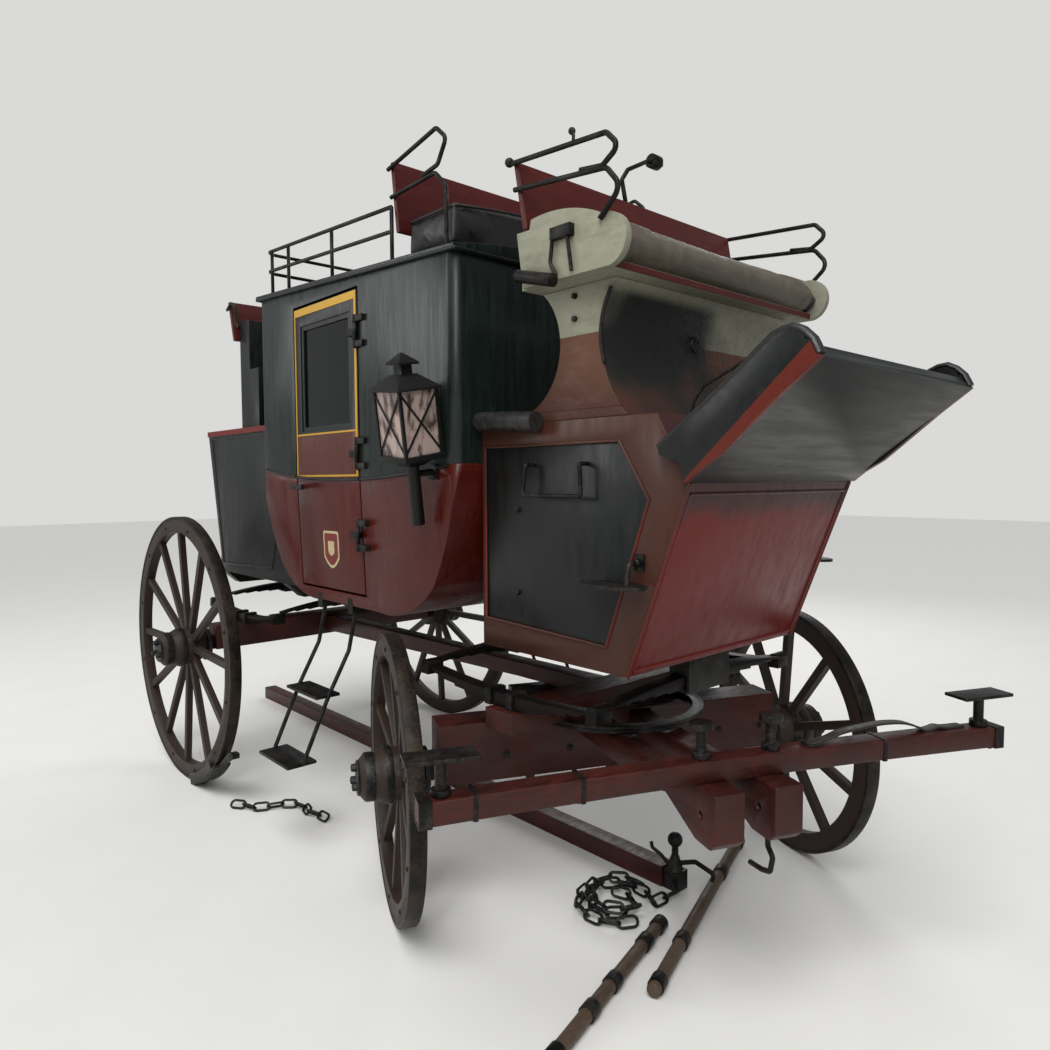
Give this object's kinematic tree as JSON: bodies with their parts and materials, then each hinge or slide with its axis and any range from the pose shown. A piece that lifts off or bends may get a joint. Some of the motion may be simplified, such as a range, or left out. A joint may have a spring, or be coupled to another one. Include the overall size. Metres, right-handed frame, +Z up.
{
  "type": "stagecoach",
  "caption": "Four-wheeled mail-type stagecoach with closed body, front and hind boots, roof seats, leaf springs, steerable fore-carriage and its pole laid on the floor.",
  "frame": {"origin": "middle of the whole model's footprint, on the floor under the wheels", "axes": "+X forward, towards the footboard; +Y to the coach's left; +Z up"},
  "size_m": [4.689, 2.2958, 2.8744],
  "materials": {
    "iron": "black paint worn to iron",
    "body_green": "very dark green coach varnish",
    "body_maroon": "red-brown coach varnish",
    "boot_red": "red coach varnish",
    "boot_dark": "dark varnish",
    "seat_wood": "worn pale paint",
    "red_board": "dull red paint",
    "gear_wood": "red-brown paint on ash",
    "wheel_wood": "weathered paint on ash",
    "cushion": "worn grey-brown cloth",
    "black_leather": "black hide",
    "glass": "old plate glass",
    "lamp_metal": "grey-green sheet",
    "floor_wood": "bare boards"
  },
  "bodies": {
    "coach": {"hind_axle": "iron", "hind_bed": "gear_wood", "transom": "gear_wood", "upper_plate_and_kingpin": "iron", "perch": "gear_wood", "body_lower": "body_maroon", "body_upper": "body_green", "body_floor": "floor_wood", "roof": "body_green", "inside_seats": "cushion", "front_boot": "boot_red", "boot_panels": "boot_dark", "seat_riser": "seat_wood", "driver_seat": "seat_wood", "driver_cushion": "cushion", "footboard": "boot_red", "roof_cushion": "black_leather", "boot_irons": "iron", "leather_roll": "black_leather", "luggage_rail": "iron", "hind_boot": "boot_dark", "door_hinges": "iron", "front_springs": "iron", "hind_springs": "iron", "spring_blocks": "iron", "hind_seat": "boot_dark", "backrests": "red_board", "seat_irons": "iron", "steps": "iron", "lamps": "lamp_metal", "lamp_glass": "glass", "pole": "gear_wood", "lead_bars": "gear_wood", "drag_shoe": "iron", "pole_irons": "iron"},
    "fore_carriage": {"front_axle": "iron", "axle_bed": "gear_wood", "futchells": "gear_wood", "lower_wheel_plate": "iron", "splinter_bar": "gear_wood", "splinter_bar_irons": "iron", "trace_strap": "black_leather"},
    "front_wheel_right": {"wheel_front_right": "wheel_wood", "tyre_front_right": "iron"},
    "rear_wheel_right": {"wheel_rear_right": "wheel_wood", "tyre_rear_right": "iron"},
    "door_right": {"door_panel_right": "body_maroon", "door_frame_right": "body_green", "door_glass_right": "glass", "door_irons_right": "iron"},
    "front_wheel_left": {"wheel_front_left": "wheel_wood", "tyre_front_left": "iron"},
    "rear_wheel_left": {"wheel_rear_left": "wheel_wood", "tyre_rear_left": "iron"},
    "door_left": {"door_panel_left": "body_maroon", "door_frame_left": "body_green", "door_glass_left": "glass", "door_irons_left": "iron"},
    "hind_boot_hatch": {"hind_boot_door": "boot_dark", "hatch_irons": "iron"}
  },
  "joints": [
    {"name": "steering", "type": "hinge", "parent": "coach", "child": "fore_carriage", "pos_m": [1.09553, 0.11581, 0.7], "axis": [0, 0, 1], "range_deg": [-0.43, 45.47]},
    {"name": "front_wheel_right_turn", "type": "hinge", "parent": "fore_carriage", "child": "front_wheel_right", "pos_m": [0.70013, -0.64079, 0.5125], "axis": [0.4158, 0.9095, 0], "continuous": true},
    {"name": "rear_wheel_right_turn", "type": "hinge", "parent": "coach", "child": "rear_wheel_right", "pos_m": [-1.20647, -0.73669, 0.7], "axis": [0, 1, 0], "continuous": true},
    {"name": "door_right_hinge", "type": "hinge", "parent": "coach", "child": "door_right", "pos_m": [0.23853, -0.50619, 1.741], "axis": [0, 0, 1], "range_deg": [0, 90]},
    {"name": "front_wheel_left_turn", "type": "hinge", "parent": "fore_carriage", "child": "front_wheel_left", "pos_m": [1.40908, 0.90983, 0.5125], "axis": [0.4158, 0.9095, 0], "continuous": true},
    {"name": "rear_wheel_left_turn", "type": "hinge", "parent": "coach", "child": "rear_wheel_left", "pos_m": [-1.20647, 0.96831, 0.7], "axis": [0, 1, 0], "continuous": true},
    {"name": "door_left_hinge", "type": "hinge", "parent": "coach", "child": "door_left", "pos_m": [0.23853, 0.73781, 1.741], "axis": [0, 0, 1], "range_deg": [-90, 0]},
    {"name": "hind_boot_hatch_hinge", "type": "hinge", "parent": "coach", "child": "hind_boot_hatch", "pos_m": [-1.68921, -0.28719, 1.48653], "axis": [-0.2056, 0, 0.9786], "range_deg": [0, 100]}
  ]
}
